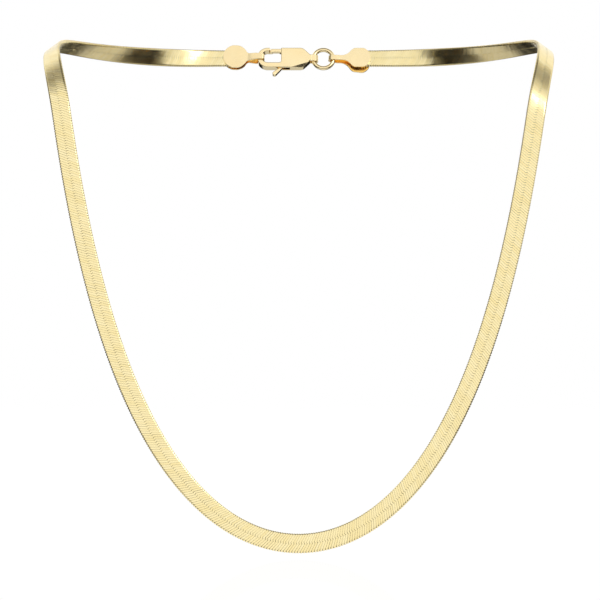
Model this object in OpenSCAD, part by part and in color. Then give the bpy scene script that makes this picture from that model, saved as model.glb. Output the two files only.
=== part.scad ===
// Flat herringbone necklace, fastened and hanging as it does round a neck.
// Sizes are in millimetres. X runs to the viewer's right, Y backwards and Z up.
// The origin is the middle of the neck opening, level with the nape.

/* [Chain] */
// Length of the whole fastened necklace, along its middle
loop_length = 450; // [440:5:480]
// Width of the flat chain
chain_w = 4.2; // [3.8:0.1:4.3]
// Thickness of the flat chain
chain_t = 0.8; // [0.7:0.05:0.8]
// Depth of the valley between the two rows of links
valley_d = 0.08; // [0.02:0.02:0.14]

/* [Drape] */
// Length of chain from the lowest point to where it starts to go over the shoulder
drop_len = 112; // [100:1:118]
// Length over which the drop turns from level towards upright
drop_reach = 26.4; // [22:0.2:32]
// Share of a quarter turn that a very long drop would reach
drop_gain = 1.06; // [0.98:0.01:1.08]
// Lean of the drop in degrees, its lowest point forward
drop_lean = 8; // [0:1:15]
// Height that the chain climbs from the drop's end to the nape
nape_rise = 18; // [12:1:24]
// Lean of the chain and the clasp at the nape in degrees, top edge back
nape_lean = 20; // [0:1:25]

/* [End caps] */
// Thickness of the gold sheet that the caps and the claw's tail are folded from
sheet = 0.35; // [0.3:0.01:0.36]
// Gap between a cap's leaf and the chain
leaf_gap = 0.05; // [0.03:0.01:0.06]
// Radius of the claw-side cap's round paddle
claw_paddle_r = 2.9; // [2.7:0.05:3]
// Radius of the ring-side cap's round paddle
ring_paddle_r = 2.65; // [2.5:0.05:2.8]
// Turn of the claw-side cap about its fold, in degrees
claw_cap_turn = -2; // [-3:1:0]
// Turn of the ring-side cap's front leaf about its fold, in degrees
front_leaf_turn = 0; // [0:1:4]
// Turn of the ring-side cap's back leaf about its fold, in degrees
back_leaf_turn = -7; // [-10:1:-4]

/* [Claw] */
// Thickness of the claw, front plate to back plate
claw_t = 2.2; // [2.1:0.05:2.2]
// Width of the slot between the plates, in which the lever moves
slot_t = 1.2; // [1.15:0.05:1.25]
// Outer radius of the claw's round hook, and half the height of its plates
hook_r = 2.48; // [2.45:0.01:2.5]
// How far the claw and the ring hang below the chain's middle line
claw_drop = 0.12; // [0.06:0.01:0.16]

/* [Lever] */
// Thickness of the lever
lever_t = 1.1; // [1:0.05:1.1]
// Radius of the pivot pin
pin_r = 0.35; // [0.3:0.01:0.36]

/* [Ring] */
// Outer diameter of the jump ring
ring_d = 5.7; // [5.6:0.05:5.75]
// Thickness of the jump ring's wire
ring_wire = 1; // [0.9:0.05:1]

/* [Hidden] */
$fn = 96;
gold = [0.97, 0.87, 0.6];
polished = [0.98, 0.89, 0.68];
shade = [0.9, 0.76, 0.42];

// The path of the chain's middle line, right half, from the lowest point to the nape
drop_steps = 48;
shoulder_steps = 40;
drop_step = drop_len / drop_steps;
nape_half = 18;
chain_end = 13.2;
drop_handle = 24;
shoulder_pull = [60, 45, 0];
nape_handle = 30;
shoulder_out = [1.1, 0, 1.4];
outer_at_drop = [0, -cos(drop_lean), sin(drop_lean)];
outer_at_nape = [0, cos(nape_lean), -sin(nape_lean)];

// Turn of the drop from level, in degrees, at a length s from its lowest point
function turn(s) = drop_gain * atan(s / drop_reach);

// Points of the drop in its own leaning plane: across, up
drop_plane = [
    for (i = 0, x = 0, h = 0; i <= drop_steps;
         x = x + drop_step * cos(turn((i + 0.5) * drop_step)),
         h = h + drop_step * sin(turn((i + 0.5) * drop_step)),
         i = i + 1) [x, h]
];
drop_end = drop_plane[drop_steps];
drop_top = drop_end[1] * cos(drop_lean);
low_z = -drop_top - nape_rise;

function in_drop(across, up, depth) =
    [across, -depth / 2 + up * sin(drop_lean), low_z + up * cos(drop_lean)];
function drop_heading(angle) =
    [cos(angle), sin(angle) * sin(drop_lean), sin(angle) * cos(drop_lean)];

// Control points of the curve over the shoulder, for a neck of this depth
function shoulder_controls(depth) =
    let (start = in_drop(drop_end[0], drop_end[1], depth), end = [nape_half, depth / 2, 0])
    [start, start + drop_handle * drop_heading(turn(drop_len)),
     shoulder_pull - [0, depth / 2, 0], end + [nape_handle, 0, 0], end];
function steps_between(c) = [for (i = [1:len(c) - 1]) c[i] - c[i - 1]];
function curve(c, t) = len(c) == 1 ? c[0] :
    curve([for (i = [1:len(c) - 1]) (1 - t) * c[i - 1] + t * c[i]], t);
function curve_length(c, i = 1) = i > shoulder_steps ? 0 :
    norm(curve(c, i / shoulder_steps) - curve(c, (i - 1) / shoulder_steps)) + curve_length(c, i + 1);

// The neck's depth that gives the loop its length, found by halving
function half_loop(depth) = drop_len + curve_length(shoulder_controls(depth)) + nape_half;
function depth_for_loop(low, high, halvings) =
    let (middle = (low + high) / 2)
    halvings == 0 ? middle :
    2 * half_loop(middle) < loop_length ? depth_for_loop(middle, high, halvings - 1) :
    depth_for_loop(low, middle, halvings - 1);
neck_depth = depth_for_loop(40, 140, 24);
controls = shoulder_controls(neck_depth);

// Each station has a point, a heading and the direction that the outer face looks in
function unit(v) = v / norm(v);
function square_to(v, heading) = unit(v - (v * heading) * heading);
function outer_over(t) =
    pow(1 - t, 2) * outer_at_drop + 2 * t * (1 - t) * shoulder_out + t * t * outer_at_nape;
half_stations = concat(
    [for (i = [0:drop_steps])
        [in_drop(drop_plane[i][0], drop_plane[i][1], neck_depth),
         drop_heading(turn(i * drop_step)), outer_at_drop]],
    [for (i = [1:shoulder_steps])
        let (t = i / shoulder_steps, heading = unit(curve(steps_between(controls), t)))
        [curve(controls, t), heading, square_to(outer_over(t), heading)]],
    [[[chain_end, neck_depth / 2, 0], [-1, 0, 0], outer_at_nape]]
);

// The chain's section: across, outward. Flat faces, a shallow valley and blunt edges
flat_half = chain_w / 2 - 0.25;
valley_half = 0.3;
face = chain_t / 2;
chain_section = [
    [-chain_w / 2, 0], [-flat_half, face], [-valley_half, face], [0, face - valley_d],
    [valley_half, face], [flat_half, face],
    [chain_w / 2, 0], [flat_half, -face], [valley_half, -face], [0, valley_d - face],
    [-valley_half, -face], [-flat_half, -face]
];
sides = len(chain_section);
function ring_of(station) =
    let (across = cross(station[2], station[1]))
    [for (p = chain_section) station[0] + p[0] * across + p[1] * station[2]];
function mirrored(points) = [for (p = points) [-p[0], p[1], p[2]]];

// Places in the clasp's own plane: along the chain, up, towards the viewer
leaf_in = chain_t / 2 + leaf_gap;
leaf_out = leaf_in + sheet;
ring_r = (ring_d - ring_wire) / 2;
ring_at = [5.8, -claw_drop - 0.01];
hook_at = [-7.3, 0];
shoulder_x = 0.3;
shoulder_r = 1.62;
shoulder_y = hook_r - shoulder_r;
taper = 45;
taper_start = [shoulder_x + shoulder_r * sin(taper), shoulder_y + shoulder_r * cos(taper)];
taper_end = 2.9;
taper_half = taper_start[1] - (taper_end - taper_start[0]) * tan(taper);
facet_from = [-2.4, -2.5];
facet_to = [2.71, -0.84];
facet_tilt = 29;
opening_r = 1.45;
opening_at = [-7.25, 0.2];
opening_floor = opening_at[1] - opening_r;
opening_top = 1.2;
plate_x = -4.15;
corner_r = 0.5;
tip_r = 0.42;
tip_at = [-7.08, hook_r - tip_r];
pivot = [-3.2, 1.35];
pin_gap = 0.02;
lever_gap = 0.03;
pin_top = 0.8;
tail_half = 0.78;
tail_end = 4.6;
loop_clear = 0.08;
claw_fold_x = -8.05;
ring_fold_x = 7;
cap_len = 11;
paddle_corner = 1.2;

// Puts what is drawn in the clasp's plane on the nape
module on_nape()
    translate([0, neck_depth / 2, 0]) rotate([90 - nape_lean, 0, 0]) children();

// Puts the claw and its lever at their height in the clasp's plane
module hung() translate([0, -claw_drop, 0]) children();

// A side view, drawn along and towards the viewer, made as wide as asked
module widened(width) rotate([90, 0, 0]) linear_extrude(height = width, center = true) children();

// Side view of a strip bent round a loop that starts at x0, as one filled shape
module loop_side(x0, half, corner, step_x, leaf_x, leaf_half, end_x) {
    for (s = [-1, 1]) translate([x0 + corner, s * (half - corner)]) circle(r = corner);
    if (half > corner) translate([x0, corner - half]) square([2 * corner, 2 * (half - corner)]);
    polygon([
        [x0 + corner, half], [step_x, half], [leaf_x, leaf_half], [end_x, leaf_half],
        [end_x, -leaf_half], [leaf_x, -leaf_half], [step_x, -half], [x0 + corner, -half]
    ]);
}

// The same strip with its thickness, open between its two leaves
module folded_side(half, corner, step_x, leaf_x, inner_leaf, outer_leaf, end_x) {
    slope = atan2(half + sheet - outer_leaf, leaf_x - step_x);
    back = sheet * tan(slope / 2);
    difference() {
        loop_side(0, half + sheet, corner + sheet, step_x, leaf_x, outer_leaf, end_x);
        loop_side(sheet, half, corner, step_x - back, leaf_x - back, inner_leaf, end_x + 1);
    }
}

// Plan of a cap's leaf: a narrow neck whose two side arcs touch a round paddle. The paddle has
// flat sides above and below and rounded corners
module leaf_plan(fold_half, neck_half, neck_end, paddle_x, paddle_r, paddle_half) {
    reach = paddle_x - neck_end;
    arc_r = (reach * reach + neck_half * neck_half - paddle_r * paddle_r) / (2 * (paddle_r - neck_half));
    share = arc_r / (arc_r + paddle_r);
    touch = [neck_end + share * reach, (neck_half + arc_r) * (1 - share)];
    inner_r = paddle_r - paddle_corner;
    corner_y = paddle_half - paddle_corner;
    corner_x = sqrt(inner_r * inner_r - corner_y * corner_y);
    round_y = corner_y * paddle_r / inner_r;
    difference() {
        polygon([
            [-1, -fold_half], [neck_end, -neck_half], [touch[0], -touch[1]], [paddle_x, -touch[1]],
            [paddle_x, touch[1]], [touch[0], touch[1]], [neck_end, neck_half], [-1, fold_half]
        ]);
        for (s = [-1, 1]) translate([neck_end, s * (neck_half + arc_r)]) circle(r = arc_r);
    }
    intersection() {
        translate([paddle_x, 0]) circle(r = paddle_r);
        translate([paddle_x - paddle_r, -round_y]) square([2 * paddle_r, 2 * round_y]);
    }
    translate([paddle_x - corner_x, -paddle_half]) square([2 * corner_x, 2 * paddle_half]);
    for (x = [-corner_x, corner_x], y = [-corner_y, corner_y])
        translate([paddle_x + x, y]) circle(r = paddle_corner);
}

// A cap: its side view and its leaf's plan meet, and each leaf turns about the fold
module folded_cap(front_turn, back_turn) {
    wide = 8;
    deep = 4;
    lap = 0.1;
    for (leaf = [[front_turn, -lap], [back_turn, -deep]])
        rotate([0, 0, leaf[0]]) intersection() {
            widened(wide) children(0);
            linear_extrude(height = 2 * deep, center = true) children(1);
            translate([-1, -wide / 2, leaf[1]]) cube([cap_len + 2, wide, deep + lap]);
        }
}

// The plan of the closed claw: the round hook on the left, and on the right rounded shoulders
// that taper towards the tail
module claw_plan() {
    difference() {
        union() {
            translate(hook_at) circle(r = hook_r);
            translate([hook_at[0], -hook_r]) square([shoulder_x - hook_at[0], 2 * hook_r]);
            for (s = [-1, 1]) translate([shoulder_x, s * shoulder_y]) circle(r = shoulder_r);
            polygon([
                [shoulder_x, -taper_start[1]], [taper_start[0], -taper_start[1]],
                [taper_end, -taper_half], [taper_end, taper_half],
                [taper_start[0], taper_start[1]], [shoulder_x, taper_start[1]]
            ]);
        }
        translate(opening_at) circle(r = opening_r);
        translate([opening_at[0], opening_floor])
            square([plate_x - corner_r - opening_at[0], opening_top - opening_floor]);
        translate([plate_x - corner_r, opening_floor + corner_r]) {
            circle(r = corner_r);
            translate([-1, 0]) square([1 + corner_r, 2]);
        }
        translate([tip_at[0], 0]) square([plate_x - tip_at[0], 3]);
    }
    translate(tip_at) circle(r = tip_r);
}

// The space between the plates, open at the gate, on the left of the plates and below the lever
module slot_plan() {
    polygon([
        [-6, 3], [-3.9, 3], [pivot[0], 2.3], [-2, 2.15], [1.7, 0.6], [2.3, -0.1], [1.7, -1.1],
        [0.4, -1.8], [-2.1, -1.9], [-2.1, -3], [-4.95, -3], [-4.95, -1], [-6, -1]
    ]);
    translate(pivot) circle(r = 0.95);
}

// What is cut off the front plate below its lower right edge, so that a sloping facet is left there
module facet_cut() {
    reach = 3;
    along = facet_to - facet_from;
    translate([facet_from[0], facet_from[1], claw_t / 2])
        rotate([0, 0, atan2(along[1], along[0])]) rotate([facet_tilt, 0, 0])
            translate([-1, -reach, 0]) cube([norm(along) + 1, reach, reach]);
}

// The lever: boss, arm with its rest under the hook's tip, and a tail with a tapered thumb knob
module lever_plan() {
    arm_top = 2.42;
    knob_at = [-5.7, -3.85];
    knob_r = 0.5;
    knob_edge = 0.98 * knob_r * unit([1.1, -1.25]);
    translate(pivot) circle(r = 0.85);
    polygon([
        [pivot[0], 2.2], [-4.05, arm_top], [-6.5, arm_top], [-6.56, 2.2], [-6.6, 2.06],
        [-6.63, 1.85], [-6.73, 1.7], [-6.97, 1.58], [-6.97, 1.42], [-6.3, 1.4], [-6, 1.58],
        [-4.6, 1.58], [-4.2, 1.35], [-4.05, 0.6], [-4.02, -1.1], [-4.4, -1.9], [-4.65, -2.52],
        knob_at - knob_edge, knob_at + knob_edge,
        [-4.25, -2.97], [-3.5, -1.9], [-2.9, -1], [-2.5, 0.9]
    ]);
    translate(knob_at) circle(r = knob_r);
}

module chain() {
    right = [for (s = half_stations) ring_of(s)];
    last = len(right) - 1;
    rings = concat([for (i = [last:-1:1]) mirrored(right[i])], right);
    top = len(rings) - 1;
    skin = [
        for (i = [0:top - 1], j = [0:sides - 1])
            let (a = i * sides + j, b = i * sides + (j + 1) % sides)
            each [[a, b + sides, a + sides], [a, b, b + sides]]
    ];
    ends = [[for (j = [sides - 1:-1:0]) j], [for (j = [0:sides - 1]) top * sides + j]];
    color(gold) polyhedron(points = [for (r = rings) each r], faces = concat(skin, ends));
}

module end_cap_claw() {
    bar_gap = 0.15;
    color(polished) on_nape() translate([claw_fold_x, 0, 0]) rotate([0, 0, 180])
        folded_cap(claw_cap_turn, claw_cap_turn) {
            folded_side(half = claw_t / 2 + bar_gap, corner = 0.2, step_x = 2.1, leaf_x = 4,
                        inner_leaf = leaf_in, outer_leaf = leaf_out, end_x = cap_len);
            leaf_plan(fold_half = 0.55, neck_half = 0.85, neck_end = 3.4, paddle_x = 6.85,
                      paddle_r = claw_paddle_r, paddle_half = claw_paddle_r - 0.05);
        }
}

module end_cap_ring() {
    wire_gap = 0.1;
    wire_half = ring_wire / 2 + wire_gap;
    color(polished) on_nape() translate([ring_fold_x, 0, 0])
        folded_cap(front_leaf_turn, back_leaf_turn) {
            folded_side(half = wire_half, corner = wire_half, step_x = 2, leaf_x = 3,
                        inner_leaf = leaf_in, outer_leaf = leaf_out, end_x = cap_len);
            leaf_plan(fold_half = 0.6, neck_half = 0.55, neck_end = 3, paddle_x = 7.25,
                      paddle_r = ring_paddle_r, paddle_half = ring_paddle_r - 0.23);
        }
}

module claw_body() {
    loop_half = ring_wire / 2 + loop_clear;
    color(polished) on_nape() hung() difference() {
        union() {
            linear_extrude(height = claw_t, center = true) claw_plan();
            translate([tail_end, 0, 0]) rotate([0, 0, 180]) widened(2 * tail_half)
                folded_side(half = loop_half, corner = loop_half, step_x = 1.3, leaf_x = 1.6,
                            inner_leaf = slot_t / 2, outer_leaf = claw_t / 2, end_x = 2.6);
        }
        linear_extrude(height = slot_t, center = true) slot_plan();
        facet_cut();
        translate([pivot[0], pivot[1], -claw_t])
            cylinder(r = pin_r + pin_gap, h = claw_t + pin_top + pin_gap);
    }
}

module claw_lever() {
    color(polished) on_nape() hung() difference() {
        linear_extrude(height = lever_t, center = true) lever_plan();
        translate([pivot[0], pivot[1], -claw_t]) cylinder(r = pin_r + lever_gap, h = 2 * claw_t);
    }
}

module pivot_pin() {
    color(shade) on_nape() hung()
        translate([pivot[0], pivot[1], -claw_t / 2]) cylinder(r = pin_r, h = claw_t / 2 + pin_top);
}

module jump_ring() {
    color(polished) on_nape() translate([ring_at[0], ring_at[1], 0])
        rotate_extrude() translate([ring_r, 0]) circle(r = ring_wire / 2);
}

chain();
end_cap_claw();
end_cap_ring();
claw_body();
claw_lever();
pivot_pin();
jump_ring();
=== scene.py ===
# %% [markdown]
# # A flat herringbone necklace
#
# The lesson builds the looks of a gold necklace round a model that already works: a flat
# chain as one solid band, two folded end caps, a lobster claw with its lever and pin, and a
# jump ring. The band becomes rows of real bent links here, the clasp gets soft edges, and
# every metal surface gets the marks that polishing leaves.

# %% Load the working model
import math

import bmesh
import bpy
import numpy as np
from mathutils import Matrix, Vector


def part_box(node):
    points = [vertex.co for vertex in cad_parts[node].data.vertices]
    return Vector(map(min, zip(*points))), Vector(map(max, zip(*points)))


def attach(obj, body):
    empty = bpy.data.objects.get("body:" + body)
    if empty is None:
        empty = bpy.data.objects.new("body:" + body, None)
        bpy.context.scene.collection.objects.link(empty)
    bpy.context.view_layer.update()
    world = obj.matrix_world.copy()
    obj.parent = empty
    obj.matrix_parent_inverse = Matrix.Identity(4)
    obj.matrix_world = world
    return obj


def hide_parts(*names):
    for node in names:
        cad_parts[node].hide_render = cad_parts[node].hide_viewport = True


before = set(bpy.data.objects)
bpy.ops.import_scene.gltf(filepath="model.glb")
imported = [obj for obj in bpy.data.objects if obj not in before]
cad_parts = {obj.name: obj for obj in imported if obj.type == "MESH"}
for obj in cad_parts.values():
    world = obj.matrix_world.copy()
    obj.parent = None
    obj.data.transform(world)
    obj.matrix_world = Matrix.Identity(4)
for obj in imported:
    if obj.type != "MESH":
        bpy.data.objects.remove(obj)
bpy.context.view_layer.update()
MM = 0.001
print("nodes:", sorted(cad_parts))

# %% [markdown]
# ## The camera
#
# The necklace is looked at from the front, level with the middle of the hanging part. A long
# lens keeps the two sides of the drop nearly parallel, as in a catalogue picture. The
# distance follows from the lens: at 704 mm a 4.2 mm band is 20 pixels wide in a picture of
# 600 pixels.

# %% Put up the camera
PICTURE = 600
LENS = 200.0
SENSOR = 36.0
CAMERA_BACK = 704.5
CAMERA_UP = 53.6
CAMERA_SIDE = 0.29
NEAREST_SEEN = 10.0
FARTHEST_SEEN = 20000.0
LOW_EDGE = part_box("chain")[0].z / MM
FRONT_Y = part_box("chain")[0].y / MM

camera_data = bpy.data.cameras.new("camera")
camera_data.lens = LENS
camera_data.sensor_width = SENSOR
camera_data.clip_start = NEAREST_SEEN * MM
camera_data.clip_end = FARTHEST_SEEN * MM
camera = bpy.data.objects.new("camera", camera_data)
camera.location = Vector((CAMERA_SIDE, FRONT_Y - CAMERA_BACK, LOW_EDGE + CAMERA_UP)) * MM
camera.rotation_euler = (math.radians(90), 0, 0)
bpy.context.scene.collection.objects.link(camera)
bpy.context.scene.camera = camera
print("pixels per mm at the drop:", round(LENS / SENSOR * PICTURE / CAMERA_BACK, 2))

# %% [markdown]
# ## The drop
#
# A flat chain bends only a little in its own plane, so a worn one is a wide smooth U in
# front, rises over the shoulders and runs level across the nape. Points set by hand would
# never be as smooth as the real thing, so the U is a formula: its turn away from level
# follows an arctangent, quick at the lowest point and slower all the way up. The headings at
# many short steps, added up, are the curve.

# %% The line of the drop
DROP_LEN = 112.0
DROP_REACH = 26.4
DROP_GAIN = 1.06
DROP_LEAN = math.radians(8)
DROP_STEPS = 448


def turn(length):
    """Turn from level, in radians: the gain times the arctangent of length over the reach."""
    return DROP_GAIN * np.arctan(length / DROP_REACH)


def drop_heading(angle):
    """Unit vectors at these angles from level, in the plane that leans back from the drop."""
    up = np.sin(angle)
    return np.stack([np.cos(angle), up * math.sin(DROP_LEAN), up * math.cos(DROP_LEAN)], -1)


def drop_points():
    """Points of the drop from its lowest one: the headings at mid-step, added up."""
    middle = (np.arange(DROP_STEPS) + 0.5) * DROP_LEN / DROP_STEPS
    added_up = np.cumsum(drop_heading(turn(middle)) * DROP_LEN / DROP_STEPS, axis=0)
    return np.concatenate([np.zeros((1, 3)), added_up])


drop = drop_points()
print("the drop is", round(2 * drop[-1, 0], 1), "mm wide and", round(drop[-1, 2], 1), "mm high")

# %% [markdown]
# ## The shoulder and the nape
#
# From the end of the drop a curve of five control points goes over the shoulder to the nape,
# and a short straight piece follows it under the clasp's cap. How deep the neck is can't be
# seen from the front, but the length of the whole loop settles it. A deeper neck needs a
# longer chain, so halving a range of depths finds the one that makes the loop 450 mm long.

# %% The line over the shoulder
HALF_LOOP = 225.0
NAPE_RISE = 18.0
NAPE_HALF = 18.0
DROP_HANDLE = 24.0
NAPE_HANDLE = 30.0
SHOULDER_PULL = np.array([60.0, 45.0, 0.0])
HALVINGS = 24


def bezier(controls, t):
    """Points of a curve: each control point weighted by its share, choose(n, i) t^i (1-t)^(n-i)."""
    n = len(controls) - 1
    shares = [math.comb(n, i) * t ** i * (1 - t) ** (n - i) for i in range(n + 1)]
    return np.stack(shares, -1) @ np.asarray(controls)


def shoulder_controls(depth, drop):
    """Five points from the drop's end, first along its heading, to the nape, level and inwards."""
    start = drop[-1] + [0, -depth / 2, -NAPE_RISE - drop[-1, 2]]
    end = np.array([NAPE_HALF, depth / 2, 0])
    leaving = DROP_HANDLE * drop_heading(turn(DROP_LEN))
    return [start, start + leaving, SHOULDER_PULL - [0, depth / 2, 0],
            end + [NAPE_HANDLE, 0, 0], end]


def curve_length(points):
    """The distances from point to point, added up."""
    return np.linalg.norm(np.diff(points, axis=0), axis=1).sum()


def fit_depth(drop, low=40.0, high=140.0, steps=40):
    """The neck's depth by halving, until drop, shoulder and nape add up to half the loop."""
    t = np.linspace(0, 1, steps + 1)
    for _ in range(HALVINGS):
        middle = (low + high) / 2
        length = curve_length(bezier(shoulder_controls(middle, drop), t))
        low, high = (middle, high) if DROP_LEN + length + NAPE_HALF < HALF_LOOP else (low, middle)
    return (low + high) / 2


neck_depth = fit_depth(drop)

# %% [markdown]
# ## A ruler that bends with the chain
#
# Every point of the chain gets three easy coordinates: how far along, how far across, and
# how far out of the face. A frame of three unit vectors at each length turns them into
# places. The left half is the right half seen in a mirror, with its heading turned round so
# that it runs on in one direction: that keeps the slant of the weave the same all the way.

# %% The frame along the line
NAPE_LEAN = math.radians(20)
CHAIN_END = 13.2
SHOULDER_OUT = np.array([1.1, 0.0, 1.4])
OUT_AT_DROP = np.array([0.0, -math.cos(DROP_LEAN), math.sin(DROP_LEAN)])
OUT_AT_NAPE = np.array([0.0, math.cos(NAPE_LEAN), -math.sin(NAPE_LEAN)])
SHOULDER_STEPS = 400
MIRROR = np.array([-1.0, 1.0, 1.0])


def unit(vectors):
    """Each vector divided by its own length."""
    return vectors / np.linalg.norm(vectors, axis=-1, keepdims=True)


def half_frame():
    """Lengths, places, headings and outward directions from the lowest point to the nape. Over
    the shoulder outward is a curve of three directions, less its part along the heading."""
    controls = shoulder_controls(neck_depth, drop)
    t = np.linspace(0, 1, SHOULDER_STEPS + 1)[1:]
    shoulder = bezier(controls, t)
    shoulder_heading = unit(bezier(np.diff(controls, axis=0), t))
    out = bezier([OUT_AT_DROP, SHOULDER_OUT, OUT_AT_NAPE], t)
    out = unit(out - (out * shoulder_heading).sum(-1, keepdims=True) * shoulder_heading)
    place = np.concatenate([drop + controls[0] - drop[-1], shoulder, [[CHAIN_END, neck_depth / 2, 0]]])
    heading = np.concatenate([drop_heading(turn(np.linspace(0, DROP_LEN, len(drop)))),
                              shoulder_heading, [[-1, 0, 0]]])
    outward = np.concatenate([np.tile(OUT_AT_DROP, (len(drop), 1)), out, [OUT_AT_NAPE]])
    walked = np.concatenate([[0], np.cumsum(np.linalg.norm(np.diff(place, axis=0), axis=1))])
    return walked, place, heading, outward


def both_halves(values, mirror):
    """The values from the lowest point on, after their own mirror image in reverse order."""
    return np.concatenate([values[:0:-1] * mirror, values])


walked, place, heading, outward = half_frame()
CHAIN_HALF = walked[-1]
line_s = both_halves(walked, -1)
line_place = both_halves(place, MIRROR)
line_heading = both_halves(heading, -MIRROR)
line_outward = both_halves(outward, MIRROR)
line_across = unit(np.cross(line_outward, line_heading))
# how fast the heading turns towards across, in radians a millimetre
line_bend = (np.gradient(line_heading, line_s, axis=0) * line_across).sum(-1)


def read_line(values, s):
    """Values of the line at lengths s, straight between its own points."""
    return np.stack([np.interp(s, line_s, values[:, i]) for i in range(3)], -1)


def along_chain(s, across, outside):
    """Places in metres: the line's place, plus across and outside times its two directions."""
    spot = read_line(line_place, s)
    spot = spot + across[..., None] * unit(read_line(line_across, s))
    return (spot + outside[..., None] * unit(read_line(line_outward, s))) * MM


print("the woven band is", round(2 * CHAIN_HALF, 1), "mm long")

# %% [markdown]
# ## One link
#
# A herringbone link is a wire hook, hammered flat. From the middle it runs slanting to the
# edge, folds over it and comes back slanting on the other face. Its first end makes a short
# jog the other way, over the middle, which draws the fine zigzag between the rows. One link
# is a path of fourteen stations with a five-sided section carried along it: a flat top, two
# narrow shoulders and a keel below. Two stations close together, just before the fold, keep
# the face flat up to there. All links share that small grid, so the whole chain is one array
# operation, and a link has only 67 faces. From its first end to its last it runs on by three
# and a half pitches and the jog, so its two ends lie half a pitch out of step.

# %% The path and the section of a link
PITCH = 0.556
HALF_W = 2.09
HALF_T = 0.4
WIRE_HALF = 0.15
JOG = 0.14
RUN_PITCHES = 3.5
MIDDLE = 0.17
FOLD_START = 1.72
WIDEST_SHARE = 0.985
EDGE = HALF_W - WIRE_HALF
FACE_OUT = HALF_T - WIRE_HALF
SLANT_RUN = (RUN_PITCHES * PITCH + JOG) / 2

# across, out of the face, turn of the wire's outer side in radians, share of the pitch
FACE_STATIONS = np.array([
    [-0.16, 0.240, 0, 0.90],
    [MIDDLE, 0.245, 0, 0.93],
    [0.42, FACE_OUT, 0, WIDEST_SHARE],
    [1.58, FACE_OUT, 0, WIDEST_SHARE],
    [FOLD_START, FACE_OUT, 0, 0.93],
])
FOLD_TURNS = np.radians([30, 60, 90])
FOLD_SHARES = [0.80, 0.62, 0.50]
# across the wire, out of it
WIRE_SECTION = np.array([[0, -1], [-0.5, 0.7], [-0.48, 1], [0.48, 1], [0.5, 0.7]])


def link_path():
    """Stations of a link. Over the edge it follows a quarter of an ellipse, whose half-axes
    are the room left across and out of the face, and the back mirrors the face. Along the
    chain it runs on in proportion to its way across: by the jog over the middle, and by the
    slant from there to the edge."""
    across, out, angle, share = FACE_STATIONS.T
    across = np.append(across, FOLD_START + (EDGE - FOLD_START) * np.sin(FOLD_TURNS))
    out = np.append(out, FACE_OUT * np.cos(FOLD_TURNS))
    angle = np.append(angle, FOLD_TURNS)
    share = np.append(share, FOLD_SHARES)
    run = np.where(across < MIDDLE, (MIDDLE - across) * JOG / (2 * MIDDLE),
                   (across - MIDDLE) / (EDGE - MIDDLE) * SLANT_RUN)
    back = slice(len(across) - 2, 0, -1)
    return (np.append(across, across[back]), np.append(out, -out[back]),
            np.append(angle, math.pi - angle[back]), np.append(share, share[back]),
            np.append(run, 2 * SLANT_RUN - run[back]))


path_across, path_out, path_angle, path_share, path_run = link_path()
print("a link is", len(path_across), "stations long and slants at",
      round(math.degrees(math.atan2(EDGE - MIDDLE, SLANT_RUN))), "degrees")

# %% [markdown]
# ## Rows of links
#
# The row on the inner side of the curve and the row on the outer side are the same link,
# turned half round the chain's own line. Hammer and hand leave small differences, so each
# link has its own slight tilt and width, and its own shade of gold. Where the chain curves in
# its plane, the links on the outer side fan out: gaps open between them, and they lift a
# little on one side, as slats do.

# %% Work out one row
TILT_SPREAD = 0.012
GAP_SPREAD = 0.018
GAP_MOST = 0.12
FAN_LIFT = 0.6
FAN_GAP = 0.4
SEED = 41
rng = np.random.default_rng(SEED)


def row_of_links(starts, side):
    """Points on a grid of link, station and section, and each point's along, across and shade.
    Along is the start, plus the run, plus the section's place times the width there. The width
    is the wire's share of the pitch. Where a curve stretches the pitch it is narrower by the
    stretch to the power FAN_GAP: with 0 no gap would open there, with 1 no link would widen.
    Out is the path's, plus the section's depth, plus the tilt times the place across the wire."""
    count = len(starts)
    tilt = rng.normal(0, TILT_SPREAD, count)
    narrow = 1 - np.minimum(rng.exponential(GAP_SPREAD, count), GAP_MOST)
    shade = rng.random(count)
    run = starts[:, None] + path_run
    stretch = 1 - np.interp(run, line_s, line_bend) * side * path_across
    fan = np.maximum(stretch - 1, 0)
    fanned = np.minimum(1, WIDEST_SHARE / stretch) ** FAN_GAP
    width = PITCH * narrow[:, None] * path_share * fanned
    beside = WIRE_SECTION[:, 0] * width[..., None]
    depth = WIRE_SECTION[:, 1] * WIRE_HALF
    facing = np.cos(path_angle)[None, :, None]
    lift = (tilt[:, None] + FAN_LIFT * fan)[..., None] * beside * facing
    across = path_across[:, None] + depth * np.sin(path_angle)[:, None]
    out = np.clip(path_out[:, None] + depth * facing + lift, -HALF_T, HALF_T)
    s, across, out = np.broadcast_arrays(run[..., None] + beside, side * across, side * out)
    shade = np.broadcast_to(shade[:, None, None], s.shape)
    return along_chain(s, across, out), np.stack([s, across, shade], -1)


print("a link is up to", round(PITCH * WIDEST_SHARE, 3), "mm wide")

# %% [markdown]
# ## From points to pieces
#
# The points come as a grid, so the faces do too: quads from each station to the next, and one
# face on each end of the wire. Smooth shading alone would round the hammered edges away, so
# edges over 40 degrees stay sharp. How far along and across a point lies goes into a UV map,
# and the link's shade into an attribute, for the material to read.

# %% Make a mesh of a grid
SHARP_EDGE = 40


def grid_faces(shape):
    """Quads of a closed section carried along each path, and a face on each path's two ends."""
    ids = np.arange(np.prod(shape)).reshape(shape)
    a, b = ids[:, :-1], ids[:, 1:]
    quads = np.stack([a, np.roll(a, -1, 2), np.roll(b, -1, 2), b], -1).reshape(-1, 4)
    first, last = ids[:, 0, ::-1], ids[:, -1]
    return quads.tolist() + first.tolist() + last.tolist()


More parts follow.
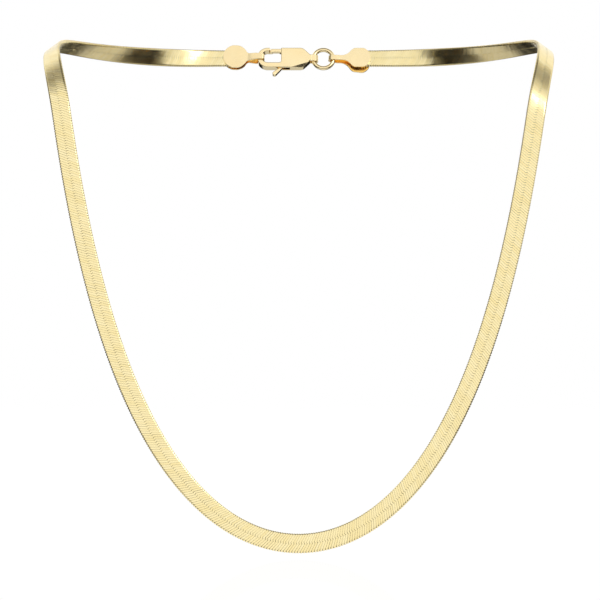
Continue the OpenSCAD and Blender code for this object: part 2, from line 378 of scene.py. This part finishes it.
def mesh_piece(name, points, marks, faces, sharp=SHARP_EDGE):
    """A mesh object at the origin with these points and faces. The marks are along and across,
    kept as the map "strip" in millimetres, and the link's shade, kept as an attribute."""
    mesh = bpy.data.meshes.new(name)
    mesh.from_pydata(points.reshape(-1, 3), [], faces)
    mesh.shade_smooth()
    mesh.set_sharp_from_angle(angle=math.radians(sharp))
    marks = marks.reshape(-1, 3)
    corner = np.empty(len(mesh.loops), dtype=np.int32)
    mesh.loops.foreach_get("vertex_index", corner)
    mesh.uv_layers.new(name="strip").data.foreach_set("uv", marks[corner, :2].ravel())
    mesh.attributes.new("shade", "FLOAT", "POINT").data.foreach_set("value", marks[:, 2])
    piece = bpy.data.objects.new(name, mesh)
    bpy.context.scene.collection.objects.link(piece)
    return piece


# %% [markdown]
# The links of a row start one pitch apart, from one end of the band to the other. The outer
# row starts half a pitch later, so that its links meet the gaps of the inner row. Each row
# becomes two pieces, left and right, to keep every mesh to a moderate size.

# %% Lay the two rows
FIRST_START = -CHAIN_HALF + PITCH / 2
LAST_START = CHAIN_HALF - 2 * SLANT_RUN - PITCH / 2

chain_pieces = []
for row, first, side in (("inner", FIRST_START, 1.0), ("outer", FIRST_START + PITCH / 2, -1.0)):
    starts = np.arange(first, LAST_START, PITCH)
    points, marks = row_of_links(starts, side)
    half = len(starts) // 2
    for end, part in (("left", slice(0, half)), ("right", slice(half, None))):
        faces = grid_faces(points[part].shape[:3])
        piece = mesh_piece(f"links_{row}_{end}", points[part], marks[part], faces)
        chain_pieces.append(piece)
        print(piece.name, len(starts[part]), "links,", len(faces), "faces")

# %% [markdown]
# ## The painted shade of the weave
#
# Between two links one looks into the weave, where wire lies on wire and hardly any light
# comes back. One could build those hidden strands too, at ten times the faces. Here a thin dark
# strip in the hollow of the links paints that shade in instead: it shows as dark dots along the edges.

# %% Build the painted-shade strip inside the links
# a dark strip inside the links: painted shade for the hollows of the weave, not a part of the chain
SHADE_STRIP_HALF_W = 1.96
SHADE_STRIP_HALF_T = 0.09
SHADE_STRIP_STEP = 1.5
SHADE_STRIP_SHARP = 30
SHADE_STRIP_CORNERS = np.array([[-1, -1], [-1, 1], [1, 1], [1, -1]])

shade_strip_s = np.arange(-CHAIN_HALF + SHADE_STRIP_STEP, CHAIN_HALF - SHADE_STRIP_STEP, SHADE_STRIP_STEP)[None, :, None]
shade_strip_across = SHADE_STRIP_CORNERS[:, 0] * SHADE_STRIP_HALF_W
shade_strip_out = SHADE_STRIP_CORNERS[:, 1] * SHADE_STRIP_HALF_T
shade_strip_grid = np.broadcast_arrays(shade_strip_s, shade_strip_across, shade_strip_out)
shade_strip_marks = np.stack([shade_strip_grid[0], shade_strip_grid[1], np.zeros(shade_strip_grid[0].shape)], -1)
shade_strip = mesh_piece("weave_shade_strip", along_chain(*shade_strip_grid), shade_strip_marks,
                  grid_faces(shade_strip_grid[0].shape), sharp=SHADE_STRIP_SHARP)
print("the strip inside has", len(shade_strip.data.polygons), "faces")

# %% [markdown]
# ## The clasp with soft edges
#
# The caps, the claw and the lever are stamped and cut from sheet, then polished, which rounds
# each edge by up to two tenths of a millimetre. The round is what catches the light, so it
# needs real faces. Each CAD mesh is copied, its loose triangles are merged, flat neighbours
# become one face again, and a bevel rounds every edge sharper than a set angle. The rims of
# the claw's plates are rounded more than its inner edges. The corner normals then lean to the
# larger faces, which keeps the flats flat. The work is done in millimetres, because the
# merging distances would be too fine in metres.
#
# The bevel's clamp is off. It goes by the shortest edge of the whole mesh, and would leave
# every round a hair wide.

# %% Round the edges of a copy
CLASP_AT = np.array([0, neck_depth / 2, 0])
CLASP_OUT = -OUT_AT_NAPE
EDGE_ANGLE = math.radians(25)
SAME_PLANE = math.radians(0.5)
SAME_POINT = 0.0005
ROUND_SEGMENTS = 3


def softened(node, name, inner, rim=0.0, plate_half=math.inf):
    """A copy of a node with rounded edges, in millimetres until the end. Edges further out of
    the clasp's plane than half its plates' thickness get the rim's round, others the inner."""
    work = bmesh.new()
    work.from_mesh(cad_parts[node].data)
    bmesh.ops.scale(work, vec=Vector((1, 1, 1)) / MM, verts=work.verts)
    bmesh.ops.remove_doubles(work, verts=work.verts, dist=SAME_POINT)
    bmesh.ops.dissolve_limit(work, angle_limit=SAME_PLANE, verts=work.verts, edges=work.edges)
    widest = max(inner, rim)
    weight = work.edges.layers.float.new("bevel_weight_edge")
    for edge in work.edges:
        if edge.calc_face_angle(0.0) > EDGE_ANGLE:
            out = [abs(np.dot(np.array(end.co) - CLASP_AT, CLASP_OUT)) for end in edge.verts]
            edge[weight] = (rim if min(out) > plate_half else inner) / widest
    mesh = bpy.data.meshes.new(name)
    work.to_mesh(mesh)
    work.free()
    piece = bpy.data.objects.new(name, mesh)
    bpy.context.scene.collection.objects.link(piece)
    mesh.shade_smooth()
    bevel = piece.modifiers.new("round", "BEVEL")
    bevel.limit_method = "WEIGHT"
    bevel.width = widest
    bevel.segments = ROUND_SEGMENTS
    bevel.use_clamp_overlap = False
    flats = piece.modifiers.new("flats", "WEIGHTED_NORMAL")
    flats.keep_sharp = True
    bpy.context.view_layer.update()
    finished = bpy.data.meshes.new_from_object(
        piece.evaluated_get(bpy.context.evaluated_depsgraph_get()))
    finished.transform(Matrix.Scale(MM, 4))
    piece.modifiers.clear()
    piece.data = finished
    print(name, len(finished.polygons), "faces")
    return piece


claw = softened("claw_body", "claw", inner=0.06, rim=0.2, plate_half=1.05)
lever = softened("claw_lever", "lever_arm", inner=0.14)
cap_left = softened("end_cap_claw", "cap_left", inner=0.05)
cap_right = softened("end_cap_ring", "cap_right", inner=0.05)
pin = softened("pivot_pin", "pin_head", inner=0.05)

# %% [markdown]
# ## Nodes and groups
#
# Three small helpers keep the materials readable. One adds a node and fills its sockets, one
# starts a group with named inputs and outputs, and one mixes two colours.

# %% Helpers for nodes
COLOR, FLOAT, VECTOR = "NodeSocketColor", "NodeSocketFloat", "NodeSocketVector"


def add(tree, kind, inputs=(), **settings):
    """A new node: settings are its own properties, inputs its sockets by name or number, each
    with a value or with the output to link."""
    node = tree.nodes.new(kind)
    for key, value in settings.items():
        setattr(node, key, value)
    for key, value in dict(inputs).items():
        if isinstance(value, bpy.types.NodeSocket):
            tree.links.new(value, node.inputs[key])
        else:
            node.inputs[key].default_value = value
    return node


def new_group(name, inputs, outputs):
    """A shader group, its input node and its output node. Inputs are name, kind and value."""
    group = bpy.data.node_groups.new(name, "ShaderNodeTree")
    for label, kind, value in inputs:
        group.interface.new_socket(label, in_out="INPUT", socket_type=kind).default_value = value
    for label, kind in outputs:
        group.interface.new_socket(label, in_out="OUTPUT", socket_type=kind)
    return group, group.nodes.new("NodeGroupInput"), group.nodes.new("NodeGroupOutput")


def mix_colors(tree, factor, first, second):
    """The color output of a mix: the first where the factor is zero, the second where it is one."""
    node = add(tree, "ShaderNodeMix", {0: factor, 6: first, 7: second}, data_type="RGBA")
    return node.outputs[2]


# %% [markdown]
# ## What polishing leaves
#
# Gold that looks flat and bright still has marks: fine lines along the direction of rubbing
# and slightly duller patches. Both are noise, and the lines are noise stretched along the
# rubbing direction. The group takes a coordinate in millimetres, so the chain can send its
# strip map and the clasp its Object coordinates.

# %% A group for the marks
LINE_SCALE = 1.0
LINE_DETAIL = 3.0
PATCH_SCALE = 0.35
PATCH_DETAIL = 2.0
# sums of the two noises at which the gold is smoothest and dullest
SMOOTHEST_AT = 0.7
DULLEST_AT = 1.3


def make_polish_marks():
    """Roughness goes from least to most with the sum of lines and patches; height is the lines."""
    group, given, result = new_group(
        "polish marks",
        [("Place", VECTOR, (0, 0, 0)), ("Stretch", VECTOR, (1, 1, 1)),
         ("Least", FLOAT, 0.15), ("Most", FLOAT, 0.3)],
        [("Roughness", FLOAT), ("Height", FLOAT)])
    place = given.outputs["Place"]
    stretched = add(group, "ShaderNodeVectorMath", {0: place, 1: given.outputs["Stretch"]},
                    operation="MULTIPLY")
    lines = add(group, "ShaderNodeTexNoise",
                {"Vector": stretched.outputs[0], "Scale": LINE_SCALE, "Detail": LINE_DETAIL})
    patches = add(group, "ShaderNodeTexNoise",
                  {"Vector": place, "Scale": PATCH_SCALE, "Detail": PATCH_DETAIL})
    both = add(group, "ShaderNodeMath", {0: lines.outputs["Fac"], 1: patches.outputs["Fac"]})
    rough = add(group, "ShaderNodeMapRange", {
        "Value": both.outputs[0], "From Min": SMOOTHEST_AT, "From Max": DULLEST_AT,
        "To Min": given.outputs["Least"], "To Max": given.outputs["Most"]})
    group.links.new(rough.outputs[0], result.inputs["Roughness"])
    group.links.new(lines.outputs["Fac"], result.inputs["Height"])
    return group


polish_marks = make_polish_marks()
print("the group", polish_marks.name, "has", len(polish_marks.nodes), "nodes")

# %% [markdown]
# ## A drift of tone
#
# Gold is never quite one colour over a whole chain. It drifts slowly from pale to deep, and
# each link leans a little to one or the other besides. One factor mixes the two golds: slow
# noise, plus the link's own shade between minus and plus a part of one.

# %% A group for the drift of tone
SHADE_PART = 0.3


def make_tone_drift():
    """Colour from pale to deep, by slow noise plus (2 shade - 1) times the shade's part."""
    group, given, result = new_group(
        "tone drift",
        [("Place", VECTOR, (0, 0, 0)), ("Scale", FLOAT, 0.1), ("Shade", FLOAT, 0.5),
         ("Pale", COLOR, (1, 1, 1, 1)), ("Deep", COLOR, (1, 1, 1, 1))],
        [("Color", COLOR)])
    slow = add(group, "ShaderNodeTexNoise",
               {"Vector": given.outputs["Place"], "Scale": given.outputs["Scale"]})
    own = add(group, "ShaderNodeMath", {0: given.outputs["Shade"], 1: 2 * SHADE_PART, 2: -SHADE_PART},
              operation="MULTIPLY_ADD")
    both = add(group, "ShaderNodeMath", {0: slow.outputs["Fac"], 1: own.outputs[0]}, use_clamp=True)
    tone = mix_colors(group, both.outputs[0], given.outputs["Pale"], given.outputs["Deep"])
    group.links.new(tone, result.inputs["Color"])
    return group


tone_drift = make_tone_drift()
print("the group", tone_drift.name, "has", len(tone_drift.nodes), "nodes")

# %% [markdown]
# ## Edges with wear and painted sheen, inner faces with painted bounce light
#
# The mop reaches a clasp's edges best, so they are smoother than its flats; they are also
# painted a little paler, a painted sheen. Its plates all lie in one plane, so a mask only asks how far
# the surface has turned from it.
# Inside a folded cap it is the other way: gold sees gold there, light comes back only after
# two or three bounces, and the inner faces look deep orange; that bounced light is painted into
# their colour. They are the faces that look back towards the fold's middle plane.

# %% Groups for the two masks
# how squarely the surface faces out of the plate, where the mask is none and full
FLAT_FACING = 0.97
EDGE_FACING = 0.6
# how squarely it faces back to the middle plane, where the mask is none and full
INWARDS_FROM = -0.3
INWARDS_FULL = -0.8


def make_rubbed_and_sheen_edges():
    """Mask of the rounded edges: rises as the surface turns away from the plate's direction."""
    group, given, result = new_group(
        "rubbed edges and painted sheen", [("Plate", VECTOR, (0, 0, 1))], [("Mask", FLOAT)])
    surface = add(group, "ShaderNodeTexCoord")
    facing = add(group, "ShaderNodeVectorMath",
                 {0: surface.outputs["Normal"], 1: given.outputs["Plate"]}, operation="DOT_PRODUCT")
    size = add(group, "ShaderNodeMath", {0: facing.outputs["Value"]}, operation="ABSOLUTE")
    mask = add(group, "ShaderNodeMapRange",
               {"Value": size.outputs[0], "From Min": FLAT_FACING, "From Max": EDGE_FACING},
               interpolation_type="SMOOTHSTEP")
    group.links.new(mask.outputs[0], result.inputs["Mask"])
    return group


def make_inner_faces():
    """Mask of a folded sheet's inner faces: rises as facing, times the sign of the side of the
    fold's middle plane that the surface lies on, falls below zero."""
    group, given, result = new_group(
        "inner faces", [("Middle", VECTOR, (0, 0, 0)), ("Plate", VECTOR, (0, 0, 1))],
        [("Mask", FLOAT)])
    surface = add(group, "ShaderNodeTexCoord")
    from_middle = add(group, "ShaderNodeVectorMath",
                      {0: surface.outputs["Object"], 1: given.outputs["Middle"]},
                      operation="SUBTRACT")
    side = add(group, "ShaderNodeVectorMath",
               {0: from_middle.outputs[0], 1: given.outputs["Plate"]}, operation="DOT_PRODUCT")
    facing = add(group, "ShaderNodeVectorMath",
                 {0: surface.outputs["Normal"], 1: given.outputs["Plate"]}, operation="DOT_PRODUCT")
    sign = add(group, "ShaderNodeMath", {0: side.outputs["Value"]}, operation="SIGN")
    inwards = add(group, "ShaderNodeMath", {0: facing.outputs["Value"], 1: sign.outputs[0]},
                  operation="MULTIPLY")
    mask = add(group, "ShaderNodeMapRange",
               {"Value": inwards.outputs[0], "From Min": INWARDS_FROM, "From Max": INWARDS_FULL},
               interpolation_type="SMOOTHSTEP")
    group.links.new(mask.outputs[0], result.inputs["Mask"])
    return group


rubbed_and_sheen_edges = make_rubbed_and_sheen_edges()
inner_faces = make_inner_faces()
print("groups:", [group.name for group in bpy.data.node_groups])

# %% [markdown]
# ## Gold for the chain
#
# Both golds are the same alloy: all metal, with a pale warm reflection. The chain's marks run
# along it, so its material reads the strip map, and each link's shade. The strip inside the
# weave is painted shade: a near-black metal that sends hardly any light back, a little more here and
# there.

# %% Mix the chain's gold and the painted shade inside it
CHAIN_PALE = (0.97, 0.84, 0.49, 1)
CHAIN_DEEP = (0.93, 0.77, 0.38, 1)
# two near-black colours of the painted shade inside the weave
PAINTED_SHADE_LIGHTER = (0.10, 0.085, 0.06, 1)
PAINTED_SHADE_DARKER = (0.04, 0.033, 0.025, 1)
GOLD_RELIEF = 0.004
WEAVE_RELIEF = 0.01


def use_group(tree, group, inputs):
    """Put a group into a material and fill its sockets."""
    return add(tree, "ShaderNodeGroup", inputs, node_tree=group)


def new_metal(name):
    """A material whose shader is all metal, and its tree and shader."""
    material = bpy.data.materials.new(name)
    material.use_nodes = True
    tree = material.node_tree
    shader = tree.nodes["Principled BSDF"]
    shader.inputs["Metallic"].default_value = 1.0
    return material, tree, shader


def connect(tree, shader, color, roughness, height, depth):
    """Colour, roughness and fine relief to the shader; depth is the relief in millimetres."""
    relief = add(tree, "ShaderNodeBump", {"Height": height, "Strength": 1.0, "Distance": depth * MM})
    tree.links.new(color, shader.inputs["Base Color"])
    tree.links.new(roughness, shader.inputs["Roughness"])
    tree.links.new(relief.outputs["Normal"], shader.inputs["Normal"])


def mix_chain_gold():
    """Gold with marks along the chain and a shade for each link."""
    material, tree, shader = new_metal("chain gold")
    strip = add(tree, "ShaderNodeUVMap", uv_map="strip").outputs["UV"]
    shade = add(tree, "ShaderNodeAttribute", attribute_name="shade").outputs["Fac"]
    tone = use_group(tree, tone_drift, {"Place": strip, "Scale": 0.12, "Shade": shade,
                                        "Pale": CHAIN_PALE, "Deep": CHAIN_DEEP})
    marks = use_group(tree, polish_marks, {"Place": strip, "Stretch": (0.5, 14, 1),
                                           "Least": 0.14, "Most": 0.26})
    connect(tree, shader, tone.outputs["Color"], marks.outputs["Roughness"],
            marks.outputs["Height"], GOLD_RELIEF)
    return material


def mix_weave_shade_paint():
    """Painted shade for the inside of the weave: hardly any light, a little more here and there."""
    material, tree, shader = new_metal("weave shade paint")
    strip = add(tree, "ShaderNodeUVMap", uv_map="strip").outputs["UV"]
    tone = use_group(tree, tone_drift, {"Place": strip, "Scale": 1.5, "Shade": 0.5,
                                        "Pale": PAINTED_SHADE_LIGHTER, "Deep": PAINTED_SHADE_DARKER})
    marks = use_group(tree, polish_marks, {"Place": strip, "Stretch": (2, 2, 1),
                                           "Least": 0.5, "Most": 0.7})
    connect(tree, shader, tone.outputs["Color"], marks.outputs["Roughness"],
            marks.outputs["Height"], WEAVE_RELIEF)
    return material


chain_gold = mix_chain_gold()
weave_shade_paint = mix_weave_shade_paint()
print("materials:", [material.name for material in bpy.data.materials])

# %% [markdown]
# ## Gold for the clasp
#
# The clasp's parts were polished across a wheel, so their marks run along the clasp, and the
# material reads Object coordinates, scaled to millimetres. The edges the mop reached are smoother
# and lose the fine relief of the flats, and a painted sheen makes them a little paler. The inner
# faces get a painted deep orange for the light that bounces between them. The caps are plain stamped
# sheet, so their marks are rougher than the claw's.

# %% Mix the clasp's gold
CLASP_PALE = (0.98, 0.82, 0.50, 1)
CLASP_DEEP = (0.95, 0.75, 0.40, 1)
# the edges' gold, a little paler than the flats': a painted sheen
EDGE_SHEEN_GOLD = (0.98, 0.83, 0.50, 1)
# deep orange for the caps' inner faces: painted bounce light
PAINTED_BOUNCE_GOLD = (0.93, 0.60, 0.17, 1)
EDGE_SMOOTHER = 0.06


def mix_clasp_gold(name, stretch, least, most):
    """Gold whose flats are rougher than its edges, with marks along the clasp."""
    material, tree, shader = new_metal(name)
    surface = add(tree, "ShaderNodeTexCoord")
    place = add(tree, "ShaderNodeMapping", {"Vector": surface.outputs["Object"],
                                            "Scale": (1 / MM, 1 / MM, 1 / MM)}).outputs[0]
    tone = use_group(tree, tone_drift, {"Place": place, "Scale": 0.3, "Shade": 0.5,
                                        "Pale": CLASP_PALE, "Deep": CLASP_DEEP})
    marks = use_group(tree, polish_marks, {"Place": place, "Stretch": stretch,
                                           "Least": least, "Most": most})
    rubbed_and_sheen = use_group(tree, rubbed_and_sheen_edges, {"Plate": tuple(CLASP_OUT)})
    inner = use_group(tree, inner_faces, {"Middle": tuple(CLASP_AT * MM), "Plate": tuple(CLASP_OUT)})
    # the edges mixed paler are a painted sheen; the smoother roughness below is real polish
    color = mix_colors(tree, rubbed_and_sheen.outputs["Mask"], tone.outputs["Color"], EDGE_SHEEN_GOLD)
    # the inner faces mixed deep orange are painted bounce light
    color = mix_colors(tree, inner.outputs["Mask"], color, PAINTED_BOUNCE_GOLD)
    smoother = add(tree, "ShaderNodeMath", {0: rubbed_and_sheen.outputs["Mask"], 1: -EDGE_SMOOTHER,
                                            2: marks.outputs["Roughness"]}, operation="MULTIPLY_ADD")
    unworn = add(tree, "ShaderNodeMath", {0: 1.0, 1: rubbed_and_sheen.outputs["Mask"]}, operation="SUBTRACT")
    height = add(tree, "ShaderNodeMath", {0: marks.outputs["Height"], 1: unworn.outputs[0]},
                 operation="MULTIPLY")
    connect(tree, shader, color, smoother.outputs[0], height.outputs[0], GOLD_RELIEF)
    return material


cap_gold = mix_clasp_gold("cap gold", stretch=(1.5, 12, 12), least=0.16, most=0.30)
claw_gold = mix_clasp_gold("claw gold", stretch=(0.8, 8, 8), least=0.10, most=0.20)
print("materials:", [material.name for material in bpy.data.materials])

# %% [markdown]
# ## Dress the pieces
#
# Every piece says which body it moves with, takes its gold, and stands for the CAD node that
# it covers. The jump ring is round wire, which the CAD mesh already gives well, so only its material
# changes.

# %% Give each piece its gold, its body and its node
# the dark strip inside the weave takes the painted-shade material
for piece in chain_pieces + [shade_strip]:
    piece.data.materials.append(weave_shade_paint if piece is shade_strip else chain_gold)
    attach(piece, "necklace")
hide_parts("chain")

clasp_pieces = ((cap_left, "end_cap_claw", "cap_gold", cap_gold),
                (cap_right, "end_cap_ring", "cap_gold", cap_gold),
                (claw, "claw_body", "clasp_gold", claw_gold),
                (lever, "claw_lever", "clasp_gold", claw_gold),
                (pin, "pivot_pin", "clasp_gold", claw_gold))
for piece, node, slot, gold in clasp_pieces:
    piece.data.materials.clear()
    piece.data.materials.append(gold)
    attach(piece, "lever" if piece is lever else "necklace")
    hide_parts(node)

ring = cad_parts["jump_ring"]
ring.data.materials.clear()
ring.data.materials.append(claw_gold)
print("dressed", len(chain_pieces + [shade_strip]) + len(clasp_pieces), "pieces and the ring")

# %% [markdown]
# ## Light
#
# Polished gold shows its surroundings, so the room is the light. A room that is white all
# round would leave the gold without any shape. This one is white in front and behind, a
# little dimmer on the right, dark straight overhead and below, and nearly black on the left,
# as beside a table with one dark screen. The clasp leans back and mirrors the room 40 degrees
# up, so the dark overhead starts only above that. The camera itself sees plain white behind
# the necklace.

# %% Build the room
ROOM_LIGHT = 1.06
PLAIN_WHITE = 1.0
# side of the room: axis, where on it the dimming starts and ends, share of the light left
ROOM_SIDES = {
    "overhead": ("Z", 0.72, 0.92, 0.2),
    "below": ("Z", -0.25, -0.8, 0.3),
    "left": ("X", -0.6, -0.82, 0.12),
    "right": ("X", 0.66, 0.88, 0.7),
}


def dimmed(tree, light, value, start, end, least):
    """The light times a factor that eases from one at the start to the least at the end."""
    factor = add(tree, "ShaderNodeMapRange",
                 {"Value": value, "From Min": start, "From Max": end, "To Min": 1.0, "To Max": least},
                 interpolation_type="SMOOTHSTEP")
    product = add(tree, "ShaderNodeMath", {0: light, 1: factor.outputs[0]}, operation="MULTIPLY")
    return product.outputs[0]


world = bpy.data.worlds.new("room")
world.use_nodes = True
tree = world.node_tree
background = tree.nodes["Background"]
direction = add(tree, "ShaderNodeTexCoord").outputs["Generated"]
towards = add(tree, "ShaderNodeSeparateXYZ", {0: direction})
light = ROOM_LIGHT
for axis, start, end, least in ROOM_SIDES.values():
    light = dimmed(tree, light, towards.outputs[axis], start, end, least)
straight = add(tree, "ShaderNodeLightPath").outputs["Is Camera Ray"]
seen = add(tree, "ShaderNodeMix", {0: straight, 2: light, 3: PLAIN_WHITE})
tree.links.new(seen.outputs[0], background.inputs["Color"])
bpy.context.scene.world = world
bpy.context.scene.view_settings.view_transform = "Standard"
print("the room dims", ", ".join(ROOM_SIDES))

# %% [markdown]
# ## Floor
#
# The floor is a sheet of white acrylic just below the drop, with lamps under it. The camera
# sees it plain white, with a surface that mirrors very little. What the gold sees of it is a
# dark sheet with a pale glow under the drop and a pale strip behind the nape. Faces that look
# a little downwards mirror the dark part in front and turn black, and faces that look straight
# down mirror the strip and stay pale, so every edge of the clasp shows as a line.

# %% Lay the floor
FLOOR_GAP = 0.65
FLOOR_HALF = 900.0

floor_z = (LOW_EDGE - FLOOR_GAP) * MM
corners = np.array([[-1, -1], [1, -1], [1, 1], [-1, 1]]) * FLOOR_HALF * MM
floor_mesh = bpy.data.meshes.new("floor")
floor_mesh.from_pydata(np.column_stack([corners, np.full(4, floor_z)]), [], [(0, 1, 2, 3)])
floor = bpy.data.objects.new("floor", floor_mesh)
bpy.context.scene.collection.objects.link(floor)
print("floor at", round(floor_z / MM, 2), "mm")

# %% [markdown]
# The floor's glow depends on the distance from the drop and on the depth behind it, so the
# material works it out from Object coordinates. A Light Path node tells the camera's rays,
# which get the white sheet, from those that come off the gold.

# %% Light the floor from below
FLOOR_MIRROR = 0.05
FLOOR_BLUR = 0.05
FLOOR_WHITE = 1.02
FLOOR_DARK = (0.02, 0.02, 0.02, 1)
GLOW_NEAR = 12.0
GLOW_FAR = 170.0
GLOW_BEHIND_AT = 140.0
GLOW_BEHIND_HALF = 45.0
GLOW_BEHIND_FADE = 45.0
GLOW_BEHIND = 0.6

acrylic = bpy.data.materials.new("white acrylic")
acrylic.use_nodes = True
tree = acrylic.node_tree
tree.nodes.clear()
spot = add(tree, "ShaderNodeTexCoord").outputs["Object"]
away = add(tree, "ShaderNodeVectorMath", {0: spot, 1: (0, FRONT_Y * MM, floor_z)},
           operation="DISTANCE").outputs["Value"]
under_drop = add(tree, "ShaderNodeMapRange",
                 {"Value": away, "From Min": GLOW_FAR * MM, "From Max": GLOW_NEAR * MM},
                 interpolation_type="SMOOTHSTEP").outputs[0]
depth_of_spot = add(tree, "ShaderNodeSeparateXYZ", {0: spot}).outputs["Y"]
from_strip = add(tree, "ShaderNodeMath", {0: depth_of_spot, 1: GLOW_BEHIND_AT * MM},
                 operation="SUBTRACT").outputs[0]
off_strip = add(tree, "ShaderNodeMath", {0: from_strip}, operation="ABSOLUTE").outputs[0]
behind = add(tree, "ShaderNodeMapRange", {
    "Value": off_strip, "From Min": (GLOW_BEHIND_HALF + GLOW_BEHIND_FADE) * MM,
    "From Max": GLOW_BEHIND_HALF * MM, "To Max": GLOW_BEHIND},
    interpolation_type="SMOOTHSTEP").outputs[0]
brighter = add(tree, "ShaderNodeMath", {0: under_drop, 1: behind}, operation="MAXIMUM").outputs[0]
glow = add(tree, "ShaderNodeEmission", {"Strength": brighter})
dark = add(tree, "ShaderNodeBsdfDiffuse", {"Color": FLOOR_DARK})
seen_by_gold = add(tree, "ShaderNodeAddShader", {0: glow.outputs[0], 1: dark.outputs[0]})
white = add(tree, "ShaderNodeEmission", {"Strength": FLOOR_WHITE})
mirror = add(tree, "ShaderNodeBsdfGlossy", {"Roughness": FLOOR_BLUR})
seen_by_eye = add(tree, "ShaderNodeMixShader",
                  {0: FLOOR_MIRROR, 1: white.outputs[0], 2: mirror.outputs[0]})
straight = add(tree, "ShaderNodeLightPath").outputs["Is Camera Ray"]
either = add(tree, "ShaderNodeMixShader",
             {0: straight, 1: seen_by_gold.outputs[0], 2: seen_by_eye.outputs[0]})
surface = add(tree, "ShaderNodeOutputMaterial")
tree.links.new(either.outputs[0], surface.inputs["Surface"])
floor.data.materials.append(acrylic)
print("the floor glows up to", GLOW_FAR, "mm from the drop")

# %% [markdown]
# ## Softbox
#
# The room alone lights everything softly. One square softbox, high in front on the right,
# puts the bright glints on the rounded edges.

# %% Hang the softbox
SOFTBOX_AT = Vector((520, -820, 560))
SOFTBOX_SIZE = 300.0
SOFTBOX_WATTS = 1.2

softbox_data = bpy.data.lights.new("softbox", "AREA")
softbox_data.size = SOFTBOX_SIZE * MM
softbox_data.energy = SOFTBOX_WATTS
softbox = bpy.data.objects.new("softbox", softbox_data)
softbox.location = SOFTBOX_AT * MM
softbox.rotation_euler = SOFTBOX_AT.to_track_quat("Z", "Y").to_euler()
bpy.context.scene.collection.objects.link(softbox)
print("softbox", round(SOFTBOX_AT.length), "mm from the necklace's middle")
